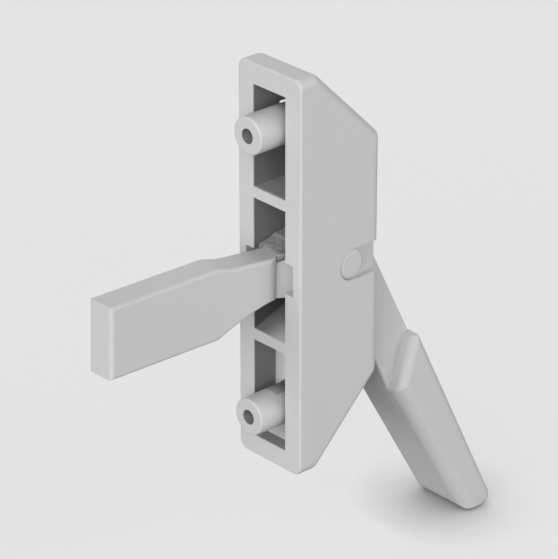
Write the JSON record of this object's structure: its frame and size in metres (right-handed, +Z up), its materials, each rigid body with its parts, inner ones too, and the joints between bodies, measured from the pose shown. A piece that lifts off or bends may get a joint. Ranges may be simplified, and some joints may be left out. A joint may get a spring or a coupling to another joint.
{
  "type": "window locking handle",
  "caption": "Locking handle for a window: a hollow cast housing with blind screw posts, and a bell-crank lever that turns on a cross pin.",
  "frame": {"origin": "midway between the two screw posts' axes, on the mounting plane", "axes": "+Y is the mounting plane's outward normal, towards the window frame; +Z up along the housing; X across it, along the lever's pin"},
  "size_m": [0.0178, 0.0988, 0.1125],
  "materials": {
    "housing": "light grey satin coat on a casting",
    "lever": "light grey satin coat on a casting",
    "pin": "light grey satin coat, as on the housing round it"
  },
  "bodies": {
    "housing": {"housing": "housing", "pivot_pin": "pin"},
    "lever": {"lever": "lever"}
  },
  "joints": [
    {"name": "lever_pivot", "type": "hinge", "parent": "housing", "child": "lever", "pos_m": [0, -0.0138, 0], "axis": [1, 0, 0], "range_deg": [-29, 26.4]}
  ]
}
